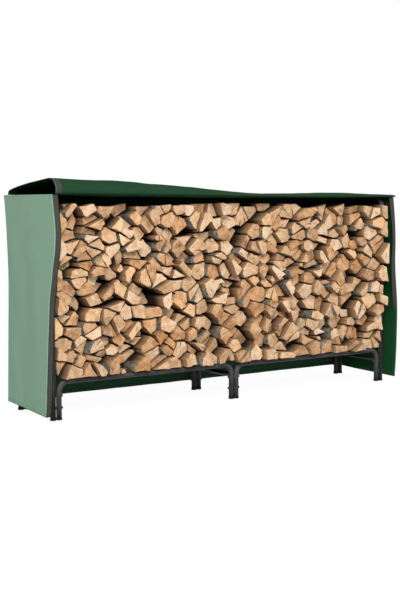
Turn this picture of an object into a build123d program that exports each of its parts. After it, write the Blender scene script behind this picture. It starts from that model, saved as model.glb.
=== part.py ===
import math
import os
import random
from build123d import *

os.makedirs("parts", exist_ok=True)

# Rack of bent tube
rack_width = 2400  # over the outer faces of the end frames
rack_depth = 386  # between the centre lines of the front and rear tubes
tube_d = 30
tube_sides = 12  # flats that stand for the round of a tube or a cap
bend_radius = 55  # on the centre line
rail_top = 219.4  # what the logs rest on
leg_gap = 5  # between two legs that stand side by side
crossbar_d = 18
crossbar_height = 140
rod_sides = 12
bolt_heights = (65, 130)
spacer_d = 16
spacer_sides = 8

# Foot caps
cap_wall = 1.5
cap_height = 12
cap_floor = 3

# Clearances
seat = 0.3  # between a piece and what carries it
weld = 0.15  # between a rod's hollowed end and the tube it is welded to

# Cover of woven fabric
cover_overhang = 30  # from the outer face of an end frame to the cloth
cover_height = 1187
fabric = 1.2
roof_sag = 7
back_lean = 2  # how far the back's top leans in over the depth of the sag
roof_front_left = -288
roof_front_right = -248
tape_width = 26
tape_thickness = 1.8
left_hem = 24
right_hem = 38
back_hem = 50
edge_steps = 12  # straight steps that the curve of a sheet's edge is drawn with

# Front flap, thrown back over the roof
flap_rear = 275
flap_crest_left = 83  # above the roof
flap_crest_middle = 22
flap_crest_right = 20
flap_folds = 8  # straight steps that its curve is drawn with
flap_stations = 4  # in each of its spans

# Pile of split logs
log_courses = 13
log_pitch = 110  # along a course, before large logs are split
log_jitter = 0.3  # of the pitch, either way along its course
log_rise = 0.26  # of a course, up or down
log_heft = 0.7  # how far the largest outweighs the smallest
split_area = (0.7, 1.68)  # of pitch times course, above which a log was split in two
split_turn = (20, 160)  # degrees from the level
knocked_share = 0.3  # of the corners
knock_depth = (0.05, 0.2)  # of a log's size
log_shortest_side = 17
bark_share = 0.16  # of the logs, those with one side still round and in bark
bark_reach = 0.6  # of the shorter side beside the round one
log_length = 412
log_front = -214
front_stagger = 26
front_slant = 0.1
pile_height = 928  # above the rails
top_lean = 9  # degrees, of a top log's upper side
top_drop = 0.3  # of a course
end_room = 10  # between an upright and the heart of a log
seed_number = 64

# Places that follow from these
tube_r = tube_d / 2
rail_height = rail_top - tube_r
frame_x = rack_width / 2 - tube_r
outer_leg_x = frame_x - tube_d - leg_gap
inner_leg_x = (tube_d + leg_gap) / 2
leg_y = rack_depth / 2
leg_foot = cap_floor + weld
roof_under = cover_height - fabric
cover_half_width = rack_width / 2 + cover_overhang
bays = {"left": (-outer_leg_x, -inner_leg_x), "right": (inner_leg_x, outer_leg_x)}


def sag(x):
    """How far the roof hangs down at a place along the rack."""
    return roof_sag * (1 - (x / cover_half_width) ** 2)


def save(name, builder):
    """Label a finished piece and write it."""
    builder.part.label = name
    export_step(builder.part, f"parts/{name}.step")


def round_bar(radius, sides):
    """The section of a tube or rod, as wide over its flats as the real one, with a flat on each axis."""
    return RegularPolygon(radius, sides, major_radius=False, rotation=180 / sides)


def bent_tube(plane, near, far, height):
    """A leg, a level run and a leg, bent from one tube in the given plane."""
    with BuildPart() as tube:
        with BuildLine(plane) as path:
            FilletPolyline(
                (near, leg_foot), (near, height), (far, height), (far, leg_foot), radius=bend_radius
            )
        with BuildSketch(Plane(origin=path.line @ 0, z_dir=path.line % 0)):
            round_bar(tube_r, tube_sides)
        sweep()
    return tube


# Bays: front and rear rails, each with its two legs
for side, (near, far) in bays.items():
    for place, y in (("front", -leg_y), ("rear", leg_y)):
        save(f"{side}_bay_{place}_rail", bent_tube(Plane.XZ.offset(-y), near, far, rail_height))

# End frames: a tall upright, a bar under the roof and an upright
frame_height = roof_under - sag(frame_x) - seat - tube_r
for side, x in (("left", -frame_x), ("right", frame_x)):
    save(f"{side}_end_frame", bent_tube(Plane.YZ.offset(x), -leg_y, leg_y, frame_height))

# Crossbars: thin rods from front leg to rear leg, hollowed at their ends to fit the legs
for side, (near, far) in bays.items():
    for x in (near, far):
        with BuildPart() as crossbar:
            with BuildSketch(Plane.XZ.offset(-leg_y)):
                with Locations((x, crossbar_height)):
                    round_bar(crossbar_d / 2, rod_sides)
            extrude(amount=rack_depth)
            with BuildSketch(Plane.XY.offset(crossbar_height - crossbar_d)):
                with Locations((x, -leg_y), (x, leg_y)):
                    round_bar(tube_r + weld, tube_sides)
            extrude(amount=2 * crossbar_d, mode=Mode.SUBTRACT)
        place = "inner" if abs(x) == inner_leg_x else "outer"
        save(f"{side}_bay_{place}_crossbar", crossbar)

# Spacers: short studs between two legs that stand side by side, at the height of each bolt
leg_pairs = [(-frame_x, -outer_leg_x), (-inner_leg_x, inner_leg_x), (outer_leg_x, frame_x)]
with BuildPart() as spacers:
    for near, far in leg_pairs:
        with BuildSketch(Plane.YZ.offset(near + tube_r + weld)):
            with Locations(*[(y, z) for y in (-leg_y, leg_y) for z in bolt_heights]):
                round_bar(spacer_d / 2, spacer_sides)
        extrude(amount=leg_gap - 2 * weld)
save("leg_spacers", spacers)

# Foot caps: a cup on the bottom of every leg
feet = [x for pair in leg_pairs for x in pair]
for place, y in (("front", -leg_y), ("rear", leg_y)):
    with BuildPart() as caps:
        with BuildSketch():
            with Locations(*[(x, y) for x in feet]):
                round_bar(tube_r + weld + cap_wall, tube_sides)
        extrude(amount=cap_height)
        with BuildSketch(Plane.XY.offset(cap_floor)):
            with Locations(*[(x, y) for x in feet]):
                round_bar(tube_r + weld, tube_sides)
        extrude(amount=cap_height, mode=Mode.SUBTRACT)
    save(f"{place}_foot_caps", caps)

# Edges of the cover from hem to roof, as (depth, height)
left_edge = [(-200, 24), (-229, 330), (-255, 640), (-291, 824), (-311, 972), (-288, 1187)]
right_edge = [(-279, 38), (-291, 300), (-289, 528), (-272, 701), (-268, 888), (-248, 1187)]
rear_edge = [(265, 24), (254, 431), (244, 721), (248, 887), (271, 1106), (288, 1187)]


def sheet_edge(points, hem, by=0):
    """Places a short step apart up the smooth edge of a sheet, from its hem, moved back by some way."""
    lowest, *others = [(y + by, z) for y, z in points]
    curve = Spline((lowest[0], hem), *others, mode=Mode.PRIVATE)
    return [curve @ (step / edge_steps) for step in range(edge_steps + 1)]


def between(fore, aft):
    """The outline of the flat shape between two edges."""
    with BuildLine() as outline:
        Polyline(*[(p.X, p.Y) for p in fore + aft[::-1]], close=True)
    return outline.edges()


def below(top):
    """Cut off what stands above the roof's underside."""
    with Locations((0, top)):
        Rectangle(2 * rack_depth, tube_d, align=(Align.CENTER, Align.MIN), mode=Mode.SUBTRACT)


def side_panel(x_face, front, hem, top):
    """One flat side of the cover, between its bound front edge and the back."""
    outline = between(sheet_edge(front, hem, tape_thickness + seat), sheet_edge(rear_edge, hem))
    with BuildPart() as panel:
        with BuildSketch(Plane.YZ.offset(x_face)):
            make_face(outline)
            below(top)
        extrude(amount=fabric)
    return panel


def edge_tape(x_face, front, hem, top):
    """The grey tape that binds a side's front edge and turns in across the opening."""
    outline = between(sheet_edge(front, hem), sheet_edge(front, hem, tape_thickness))
    with BuildPart() as tape:
        with BuildSketch(Plane.YZ.offset(x_face)):
            make_face(outline)
            below(top)
        extrude(amount=tape_width)
    return tape


panel_top = roof_under - seat
save("cover_left_side", side_panel(-cover_half_width, left_edge, left_hem, panel_top))
save("cover_right_side", side_panel(cover_half_width - fabric, right_edge, right_hem, panel_top))
save("left_zip_tape", edge_tape(-cover_half_width, left_edge, left_hem, panel_top))
right_tape_x = cover_half_width - tape_width
save("right_zip_tape", edge_tape(right_tape_x, right_edge, right_hem, panel_top))

# Back of the cover: one sheet between the sides, hung from the roof's rear edge
back_half_width = cover_half_width - fabric - seat
back_outline = between(sheet_edge(rear_edge, back_hem, -fabric), sheet_edge(rear_edge, back_hem))
with BuildPart() as back:
    with BuildSketch(Plane.YZ.offset(-back_half_width)):
        make_face(back_outline)
    extrude(amount=2 * back_half_width)
save("cover_back", back)

# Roof: one sheet that sags a little between the end frames
roof_rear = rear_edge[-1][0] - fabric - back_lean - seat
with BuildPart() as roof:
    with BuildSketch(Plane.XZ.offset(-roof_front_left)):
        with BuildLine():
            top = ThreePointArc(
                (-cover_half_width, cover_height),
                (0, cover_height - roof_sag),
                (cover_half_width, cover_height),
            )
            under = ThreePointArc(
                (-cover_half_width, roof_under),
                (0, roof_under - roof_sag),
                (cover_half_width, roof_under),
            )
            Line(top @ 0, under @ 0)
            Line(top @ 1, under @ 1)
        make_face()
    extrude(amount=roof_front_left - roof_rear)
    front_line = Vector(2 * cover_half_width, roof_front_right - roof_front_left, 0)
    split(
        bisect_by=Plane(
            origin=(-cover_half_width, roof_front_left, 0),
            x_dir=front_line,
            z_dir=Vector(0, 0, 1).cross(front_line),
        )
    )
save("cover_roof", roof)


def flap_crest(x):
    """How far the flap stands above the roof, high at the left end and low past the middle."""
    share = (x + cover_half_width) / (2 * cover_half_width)
    low = flap_crest_middle + (flap_crest_right - flap_crest_middle) * share
    drop = 0.5 + 0.5 * math.cos(math.pi * min(1, share / 0.6))
    return low + (flap_crest_left - low) * drop


# Shape of the flap from its front fold to its rear hem, as shares of its depth and crest
flap_shape = [
    (0.0, 0.0),
    (-0.012, 0.38),
    (0.03, 0.78),
    (0.13, 1.0),
    (0.5, 0.8),
    (0.84, 0.5),
    (0.97, 0.27),
    (1.0, 0.0),
]


def flap_section(x):
    """A closed thin outline of the flap at a place along the roof."""
    front = roof_front_left + (roof_front_right - roof_front_left) * (
        (x + cover_half_width) / (2 * cover_half_width)
    )
    depth = flap_rear - front
    base = cover_height - sag(x) + seat
    crest = flap_crest(x)
    outer = [(front + u * depth, base + v * crest) for u, v in flap_shape]
    centre = front + 0.5 * depth
    squeeze = 1 - 2 * fabric / depth
    inner = [(centre + (y - centre) * squeeze, z - fabric) for y, z in outer[1:-1]]
    first = (centre + (outer[0][0] - centre) * squeeze, base)
    last = (centre + (outer[-1][0] - centre) * squeeze, base)
    over = Spline(*outer, mode=Mode.PRIVATE)
    beneath = Spline(first, *inner, last, mode=Mode.PRIVATE)
    shares = [i / flap_folds for i in range(flap_folds + 1)]
    rim = [over @ share for share in shares] + [beneath @ share for share in reversed(shares)]
    with BuildSketch(Plane.YZ.offset(x)) as section:
        with BuildLine():
            Polyline(*[(p.X, p.Y) for p in rim], close=True)
        make_face()
    return section


# The flap in three spans that meet end to end: the raised roll, the slope and the part that lies flat
flap_half_width = cover_half_width - tape_width - seat
flap_spans = {
    "cover_front_flap": (0, 0.3),
    "cover_front_flap_middle": (0.3, 0.6),
    "cover_front_flap_right": (0.6, 1),
}
for name, (start, end) in flap_spans.items():
    near = flap_half_width * (2 * start - 1) + seat / 2
    far = flap_half_width * (2 * end - 1) - seat / 2
    with BuildPart() as flap:
        for station in range(flap_stations):
            section = flap_section(near + (far - near) * station / (flap_stations - 1))
            add(section.sketch)
        loft(ruled=True)
    save(name, flap)

# Tapes that bind the two ends of the flap
for side, x_end, inwards in (("left", -cover_half_width, 1), ("right", cover_half_width, -1)):
    with BuildPart() as tape:
        extrude(flap_section(x_end).sketch, amount=inwards * tape_width)
    save(f"flap_{side}_tape", tape)


# Logs: the pile is a rectangle shared out among the logs, each log the area nearest to it
chance = random.Random(seed_number)
pile_half_width = frame_x - tube_r - seat
pile_bottom = rail_top + seat
pile_top = rail_top + pile_height
course_height = pile_height / log_courses


def clip(outline, point, outward):
    """What is left of a convex outline behind a straight cut."""
    kept = []
    for here, there in zip(outline, outline[1:] + outline[:1]):
        before = (here - point).dot(outward)
        after = (there - point).dot(outward)
        if before <= 0:
            kept.append(here)
        if before * after < 0:
            kept.append(here + (there - here) * (before / (before - after)))
    return kept


def area_and_centre(outline):
    """Area and centre of an outline, as a fan of triangles."""
    total, centre = 0, Vector(0, 0)
    for here, there in zip(outline[1:], outline[2:]):
        a, b = here - outline[0], there - outline[0]
        area = (a.X * b.Y - a.Y * b.X) / 2
        total += area
        centre += (outline[0] + here + there) * (area / 3)
    return total, centre / total


def plant_logs():
    """A point and a heft for every log, course by course, jittered along and up."""
    planted = []
    for course in range(log_courses):
        count = round(2 * pile_half_width / log_pitch)
        pitch = 2 * pile_half_width / count
        start = -pile_half_width + pitch * (0.25 if course % 2 else 0.75)
        for i in range(count):
            x = start + i * pitch + chance.uniform(-log_jitter, log_jitter) * pitch
            rise = 0.5 + chance.uniform(-log_rise, log_rise)
            heft = chance.uniform(0, log_heft) * course_height
            place = Vector(min(x, pile_half_width - end_room), pile_bottom + (course + rise) * course_height)
            planted.append((place, heft, course))
    return planted


def log_area(index, planted):
    """The outline that a log has among its neighbours, a seat's width from each."""
    here, heft, course = planted[index]
    neighbourhood = 4 * log_pitch
    outline = [
        Vector(-pile_half_width, pile_bottom),
        Vector(pile_half_width, pile_bottom),
        Vector(pile_half_width, pile_top),
        Vector(-pile_half_width, pile_top),
    ]
    for other, (there, other_heft, other_course) in enumerate(planted):
        way = there - here
        if other == index or way.length > neighbourhood:
            continue
        share = 0.5 + (heft**2 - other_heft**2) / (2 * way.length**2)
        apart = way.normalized() * (seat / 2)
        outline = clip(outline, here + way * share - apart, way.normalized())
    return outline


def level_off(outline):
    """A top log's own uneven upper side."""
    lean = math.radians(chance.uniform(-top_lean, top_lean))
    drop = chance.uniform(0, top_drop) * course_height
    area, centre = area_and_centre(outline)
    return clip(outline, Vector(centre.X, pile_top - drop), Vector(math.sin(lean), math.cos(lean)))


def cleave(outline):
    """A log split in two along a line through its heart."""
    area, centre = area_and_centre(outline)
    turn = math.radians(chance.uniform(*split_turn))
    across = Vector(math.cos(turn), math.sin(turn))
    halves = [clip(outline, centre - across * (seat / 2), across)]
    halves.append(clip(outline, centre + across * (seat / 2), across * -1))
    return halves


def drop_short_sides(outline):
    """The outline without the corners that only bound a short side."""
    kept = list(outline)
    while len(kept) > 3:
        sides = [(there - here).length for here, there in zip(kept, kept[1:] + kept[:1])]
        if min(sides) > log_shortest_side:
            break
        kept.pop(sides.index(min(sides)))
    return kept


def knock_corners(outline):
    """The same log with some of its corners broken off, which leaves the dark gaps."""
    outline = drop_short_sides(outline)
    area, centre = area_and_centre(outline)
    size = math.sqrt(area)
    for corner in list(outline):
        if chance.random() < knocked_share:
            out = (corner - centre).normalized()
            outline = clip(outline, corner - out * chance.uniform(*knock_depth) * size, out)
    return drop_short_sides(outline)


def opening_angle(outline, i):
    """The angle between the two sides that meet at a corner."""
    before = outline[i - 1] - outline[i]
    after = outline[(i + 1) % len(outline)] - outline[i]
    return before.get_angle(after)


def leave_bark(outline):
    """The outline with its bluntest corner rounded off, as the outside of the tree left it."""
    i = max(range(len(outline)), key=lambda corner: opening_angle(outline, corner))
    half = math.sin(math.radians(opening_angle(outline, i) / 2))
    ring = outline[i:] + outline[:i]
    corner, before, after = ring[0], ring[-1] - ring[0], ring[1] - ring[0]
    reach = bark_reach * min(before.length, after.length)
    start = corner + before.normalized() * reach
    end = corner + after.normalized() * reach
    chord_middle = (start + end) * 0.5
    middle = chord_middle + (corner - chord_middle) * (half / (1 + half))
    return [start, middle, end] + ring[1:]


def shape_logs():
    """The outline of every log, as a list for each course."""
    planted = plant_logs()
    typical = log_pitch * course_height
    courses = [[] for course in range(log_courses)]
    for index, (place, heft, course) in enumerate(planted):
        outline = log_area(index, planted)
        if course == log_courses - 1:
            outline = level_off(outline)
        pieces = [outline]
        for split in range(2):
            whole = pieces
            pieces = []
            for piece in whole:
                area, centre = area_and_centre(piece)
                too_large = area > chance.uniform(*split_area) * typical
                pieces += cleave(piece) if too_large else [piece]
        for piece in pieces:
            log = knock_corners(piece)
            courses[course].append(leave_bark(log) if chance.random() < bark_share else log)
    return courses


def make_log(outline):
    """One log: its outline on a slightly slanted front face, drawn out towards the rear."""
    area, centre = area_and_centre(outline)
    front = log_front + chance.uniform(-1, 1) * front_stagger
    length = log_length + chance.uniform(-1, 1) * front_stagger / 2
    slant_x = chance.uniform(-front_slant, front_slant)
    slant_z = chance.uniform(-front_slant, front_slant)

    def on_face(p):
        offset = p - centre
        return (p.X, front + slant_x * offset.X + slant_z * offset.Y, p.Y)

    with BuildLine() as edge:
        Polyline(*[on_face(p) for p in outline], close=True)
    extrude(Face(edge.wire()), amount=length, dir=(0, 1, 0), clean=False)


for number, outlines in enumerate(shape_logs(), start=1):
    with BuildPart() as course:
        for outline in outlines:
            make_log(outline)
    save(f"log_course_{number:02d}", course)
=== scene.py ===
import math
import random
from bisect import bisect

import bmesh
import bpy
from mathutils import Matrix, Vector, noise


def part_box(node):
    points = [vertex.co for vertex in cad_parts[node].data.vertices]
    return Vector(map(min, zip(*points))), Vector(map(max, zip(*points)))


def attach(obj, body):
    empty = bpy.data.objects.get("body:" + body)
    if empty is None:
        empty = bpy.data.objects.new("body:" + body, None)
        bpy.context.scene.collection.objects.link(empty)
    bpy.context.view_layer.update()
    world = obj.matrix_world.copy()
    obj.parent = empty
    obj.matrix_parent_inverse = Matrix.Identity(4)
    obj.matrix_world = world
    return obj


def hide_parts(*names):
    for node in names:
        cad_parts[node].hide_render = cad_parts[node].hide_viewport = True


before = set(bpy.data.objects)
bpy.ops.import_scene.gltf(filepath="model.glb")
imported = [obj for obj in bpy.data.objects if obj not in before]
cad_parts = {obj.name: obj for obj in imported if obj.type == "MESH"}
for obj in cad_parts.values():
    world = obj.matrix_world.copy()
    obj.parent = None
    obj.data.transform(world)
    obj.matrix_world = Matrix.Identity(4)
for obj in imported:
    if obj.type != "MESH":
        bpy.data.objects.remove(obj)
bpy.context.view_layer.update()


# Bay rails: each is one steel tube, 30 mm across, bent into leg, level rail and leg. It is mandrel bent,
# welded to its crossbars and powder coated black. The end frames are bent from the same tube.
tube_radius = 0.015
bend_radius = 0.055
leg_depth = 0.193
leg_foot = 0.00315
rail_height = 0.2044
outer_leg, inner_leg, frame_leg = 1.150, 0.0175, 1.185  # out from the rack's middle


def new_finish(name):
    """An empty material, its nodes and links, and its surface shader."""
    finish = bpy.data.materials.new(name)
    finish.use_nodes = True
    nodes = finish.node_tree.nodes
    return finish, nodes, finish.node_tree.links, nodes["Principled BSDF"]


def speckle(nodes, links, coordinates, scale, detail=3.0, stretch=(1, 1, 1), roughness=0.55):
    """A noise texture read at the given coordinates, drawn out by stretch."""
    place = nodes.new("ShaderNodeMapping")
    place.inputs["Scale"].default_value = stretch
    links.new(coordinates, place.inputs["Vector"])
    texture = nodes.new("ShaderNodeTexNoise")
    texture.inputs["Scale"].default_value = scale
    texture.inputs["Detail"].default_value = detail
    texture.inputs["Roughness"].default_value = roughness
    links.new(place.outputs["Vector"], texture.inputs["Vector"])
    return texture.outputs["Fac"]


def shades(nodes, links, factor, stops):
    """A ramp of colours over a factor, as (place, colour) stops."""
    ramp = nodes.new("ShaderNodeValToRGB")
    while len(ramp.color_ramp.elements) < len(stops):
        ramp.color_ramp.elements.new(0.5)
    for element, (place, colour) in zip(ramp.color_ramp.elements, stops):
        element.position = place
        element.color = (*colour, 1)
    links.new(factor, ramp.inputs["Fac"])
    return ramp.outputs["Color"]


def weighted(nodes, links, value, weight, rest=0.0):
    """A value times a weight, plus the rest, which is a number or another value."""
    step = nodes.new("ShaderNodeMath")
    step.operation = "MULTIPLY_ADD"
    step.inputs[1].default_value = weight
    links.new(value, step.inputs[0])
    if isinstance(rest, float):
        step.inputs[2].default_value = rest
    else:
        links.new(rest, step.inputs[2])
    return step.outputs[0]


def relief(nodes, links, height, shader, strength, depth):
    """Bumps on a shader's surface, depth in metres."""
    bump = nodes.new("ShaderNodeBump")
    bump.inputs["Strength"].default_value = strength
    bump.inputs["Distance"].default_value = depth
    links.new(height, bump.inputs["Height"])
    links.new(bump.outputs["Normal"], shader.inputs["Normal"])


black_coat, nodes, links, shader = new_finish("black_powder_coat")
surface = nodes.new("ShaderNodeTexCoord").outputs["Object"]
cloudy = speckle(nodes, links, surface, 9, detail=5)
# Painted light and shade: the coat is coloured lighter on faces turned to the front left and up, towards the
# key lamp, and darker on faces turned away, mixed with random clouds.
painted_light_side = nodes.new("ShaderNodeVectorMath")
painted_light_side.operation = "DOT_PRODUCT"
painted_light_side.inputs[1].default_value = (-0.50, -0.80, 0.33)
links.new(nodes.new("ShaderNodeNewGeometry").outputs["Normal"], painted_light_side.inputs[0])
coat_colour_with_painted_light = shades(
    nodes, links, weighted(nodes, links, painted_light_side.outputs["Value"], 0.5, cloudy),
    [(0.50, (0.018, 0.018, 0.019)), (0.80, (0.040, 0.040, 0.041)), (1.0, (0.070, 0.068, 0.067))],
)
links.new(coat_colour_with_painted_light, shader.inputs["Base Color"])
shader.inputs["Specular IOR Level"].default_value = 0.06
dull = nodes.new("ShaderNodeMapRange")
dull.inputs["To Min"].default_value = 0.26
dull.inputs["To Max"].default_value = 0.38
links.new(cloudy, dull.inputs["Value"])
links.new(dull.outputs["Result"], shader.inputs["Roughness"])
relief(nodes, links, speckle(nodes, links, surface, 700), shader, 0.25, 0.0004)


def finish_piece(name, bm, finishes, replaced=(), smooth=True):
    """The mesh as an object on the rack's one body, standing for the CAD nodes that it replaces."""
    mesh = bpy.data.meshes.new(name)
    bm.to_mesh(mesh)
    bm.free()
    for finish in finishes:
        mesh.materials.append(finish)
    mesh.shade_smooth() if smooth else mesh.shade_flat()
    piece = bpy.data.objects.new(name, mesh)
    bpy.context.scene.collection.objects.link(piece)
    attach(piece, "root")
    if replaced:
        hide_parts(*replaced)
    return piece


def draw_out(bm, ring, way):
    """Pull the last ring of a tube straight on, and give back the new ring."""
    pulled = bmesh.ops.extrude_edge_only(bm, edges=ring)["geom"]
    bmesh.ops.translate(bm, vec=way, verts=[g for g in pulled if isinstance(g, bmesh.types.BMVert)])
    return [g for g in pulled if isinstance(g, bmesh.types.BMEdge) and len(g.link_faces) == 1]


def bend_round(bm, ring, centre, axis):
    """Bend the last ring of a tube by a right angle, and give back the new ring."""
    corners = list({v for e in ring for v in e.verts})
    bent = bmesh.ops.spin(
        bm, geom=corners + ring, cent=centre, axis=axis, angle=math.pi / 2, steps=9, use_duplicate=False
    )["geom_last"]
    return [g for g in bent if isinstance(g, bmesh.types.BMEdge)]


def bent_tube(name, foot, across, span, height):
    """A leg up from the foot, a bend, a level run across, a bend and a leg down again."""
    bm = bmesh.new()
    bmesh.ops.create_circle(bm, radius=tube_radius, segments=28, matrix=Matrix.Translation(foot))
    ring = list(bm.edges)
    rise = height - bend_radius - leg_foot
    axis = Vector((0, 0, 1)).cross(across)
    first_centre = foot + Vector((0, 0, rise)) + across * bend_radius
    second_centre = first_centre + across * (span - 2 * bend_radius)
    ring = draw_out(bm, ring, (0, 0, rise))
    ring = bend_round(bm, ring, first_centre, axis)
    ring = draw_out(bm, ring, across * (span - 2 * bend_radius))
    ring = bend_round(bm, ring, second_centre, axis)
    draw_out(bm, ring, (0, 0, -rise))
    bmesh.ops.remove_doubles(bm, verts=bm.verts, dist=1e-5)
    bmesh.ops.holes_fill(bm, edges=[e for e in bm.edges if len(e.link_faces) == 1], sides=0)
    bmesh.ops.recalc_face_normals(bm, faces=bm.faces)
    return finish_piece(name, bm, [black_coat], [name])


bay_width = outer_leg - inner_leg
for side, start in (("left", -outer_leg), ("right", inner_leg)):
    for place, y in (("front", -leg_depth), ("rear", leg_depth)):
        foot = Vector((start, y, leg_foot))
        bent_tube(f"{side}_bay_{place}_rail", foot, Vector((1, 0, 0)), bay_width, rail_height)


# End frames: a tall inverted U of the same tube at each end, which holds the cover up and the pile in.
# Its bar lies just under the roof, and the roof's cloth hangs over it.
frame_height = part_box("left_end_frame")[1].z - tube_radius
for side, x in (("left", -frame_leg), ("right", frame_leg)):
    foot = Vector((x, -leg_depth, leg_foot))
    bent_tube(f"{side}_end_frame", foot, Vector((0, 1, 0)), 2 * leg_depth, frame_height)


# Crossbars: thin steel rods from front leg to rear leg, each with a bead of weld round both ends.
# They are welded on before the coat, so the black runs over the weld.
crossbar_radius = 0.009
crossbar_height = 0.140
weld_length = 0.008
weld_start = 0.0025  # how much thicker than the rod the bead is at the leg
weld_roughness = 0.0006


def crossbar(name, x):
    """A rod along the depth, which widens to a rough bead where it meets each leg."""
    bm = bmesh.new()
    reach = leg_depth - 0.9 * tube_radius
    start = Matrix.Translation((x, -reach, crossbar_height)) @ Matrix.Rotation(math.pi / 2, 4, "X")
    bmesh.ops.create_circle(bm, radius=crossbar_radius + weld_start, segments=20, matrix=start)
    ring = list(bm.edges)
    near_bead = [(0.0035, 0.0030), (0.0035, 0.0005), (0.001, 0)]
    far_bead = [(0.001, 0.0005), (0.0035, 0.0030), (0.0035, weld_start)]
    for length, swell in near_bead + [(2 * reach - 2 * weld_length, 0)] + far_bead:
        ring = draw_out(bm, ring, (0, length, 0))
        for v in {v for e in ring for v in e.verts}:
            off = Vector((v.co.x - x, 0, v.co.z - crossbar_height))
            rough = weld_roughness * noise.noise(v.co * 400) if swell else 0
            v.co = Vector((x, v.co.y, crossbar_height)) + off.normalized() * (crossbar_radius + swell + rough)
    bmesh.ops.holes_fill(bm, edges=[e for e in bm.edges if len(e.link_faces) == 1], sides=0)
    bmesh.ops.recalc_face_normals(bm, faces=bm.faces)
    return finish_piece(name, bm, [black_coat], [name])


for side, sign in (("left", -1), ("right", 1)):
    crossbar(f"{side}_bay_inner_crossbar", sign * inner_leg)
    crossbar(f"{side}_bay_outer_crossbar", sign * outer_leg)


# Foot caps: a moulded cup of black polythene pushed on to each leg, with a rounded bottom rim.
# They are duller than the tube and pick up pale dust from the ground.
leg_places = (-frame_leg, -outer_leg, -inner_leg, inner_leg, outer_leg, frame_leg)
cap_radius = 0.01665
cap_height = 0.012
cap_wall = 0.0015
cap_hollow = 0.008
cap_rim = 0.002

cap_plastic, nodes, links, shader = new_finish("black_cap_plastic")
surface = nodes.new("ShaderNodeTexCoord").outputs["Object"]
dusty = speckle(nodes, links, surface, 60, detail=6)
links.new(
    shades(nodes, links, dusty, [(0.35, (0.010, 0.010, 0.010)), (0.7, (0.024, 0.023, 0.022))]),
    shader.inputs["Base Color"],
)
shader.inputs["Roughness"].default_value = 0.62
shader.inputs["Specular IOR Level"].default_value = 0.06
relief(nodes, links, speckle(nodes, links, surface, 1500), shader, 0.2, 0.0002)

for place, y in (("front", -leg_depth), ("rear", leg_depth)):
    bm = bmesh.new()
    for x in leg_places:
        middle = Matrix.Translation((x, y, cap_height / 2))
        cup = bmesh.ops.create_cone(
            bm, cap_ends=True, segments=28, radius1=cap_radius, radius2=cap_radius, depth=cap_height,
            matrix=middle,
        )["verts"]
        faces = {f for v in cup for f in v.link_faces}
        mouth = max(faces, key=lambda f: f.calc_center_median().z)
        sole = min(faces, key=lambda f: f.calc_center_median().z)
        bmesh.ops.inset_region(bm, faces=[mouth], thickness=cap_wall)
        bmesh.ops.translate(bm, verts=mouth.verts, vec=(0, 0, -cap_hollow))
        bmesh.ops.bevel(
            bm, geom=list(sole.edges), offset=cap_rim, offset_type="OFFSET", segments=3, profile=0.5,
            affect="EDGES", material=-1,
        )
    finish_piece(f"{place}_foot_caps", bm, [cap_plastic], [f"{place}_foot_caps"], smooth=False)


# Spacers: short sleeves of the same black steel on the bolts, between two legs that stand side by side.
# They keep the legs 5 mm apart so that the coat doesn't rub through.
spacer_radius = 0.008
spacer_length = 0.0047
bolt_heights = (0.065, 0.130)
leg_pairs = ((-frame_leg, -outer_leg), (-inner_leg, inner_leg), (outer_leg, frame_leg))
along_rack = Matrix.Rotation(math.pi / 2, 4, "Y")

bm = bmesh.new()
for near, far in leg_pairs:
    for y in (-leg_depth, leg_depth):
        for z in bolt_heights:
            middle = Matrix.Translation(((near + far) / 2, y, z)) @ along_rack
            bmesh.ops.create_cone(
                bm, cap_ends=True, segments=20, radius1=spacer_radius, radius2=spacer_radius,
                depth=spacer_length, matrix=middle,
            )
finish_piece("leg_spacers", bm, [black_coat], ["leg_spacers"], smooth=False)


# Bolts: an 8 mm bolt through each pair of legs at two heights, with a washer and a hexagon head on the
# right and a washer, a nut and the end of the thread on the left. They are zinc plated and dulled black.
bolt_radius = 0.0040
washer_radius, washer_depth = 0.0085, 0.002
nut_radius, nut_depth = 0.0078, 0.0066
head_radius, head_depth = 0.0070, 0.0055
thread_end = 0.0040
washer_seat = 0.0008  # how far a washer reaches back past the round tube's side
nut_place, thread_place, head_place = 0.0077, 0.0112, 0.0010  # out from the tube's side

bolt_zinc, nodes, links, shader = new_finish("black_zinc_bolts")
surface = nodes.new("ShaderNodeTexCoord").outputs["Object"]
tarnish = speckle(nodes, links, surface, 160, detail=5)
links.new(
    shades(nodes, links, tarnish, [(0.3, (0.03, 0.03, 0.032)), (0.7, (0.10, 0.10, 0.10))]),
    shader.inputs["Base Color"],
)
shader.inputs["Metallic"].default_value = 0.8
shader.inputs["Roughness"].default_value = 0.38
relief(nodes, links, speckle(nodes, links, surface, 900), shader, 0.2, 0.0003)


def turned(bm, x, y, z, radius, depth, sides=20):
    """A short round or hexagonal piece along the rack, from x on by its depth, with both rims bevelled."""
    middle = Matrix.Translation((x + depth / 2, y, z)) @ along_rack
    made = bmesh.ops.create_cone(
        bm, cap_ends=True, segments=sides, radius1=radius, radius2=radius, depth=depth, matrix=middle
    )["verts"]
    rims = {e for v in made for e in v.link_edges if len({round(w.co.x, 5) for w in e.verts}) == 1}
    bmesh.ops.bevel(
        bm, geom=list(rims), offset=depth * 0.2, offset_type="OFFSET", segments=2, profile=0.5,
        affect="EDGES", material=-1,
    )


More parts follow.
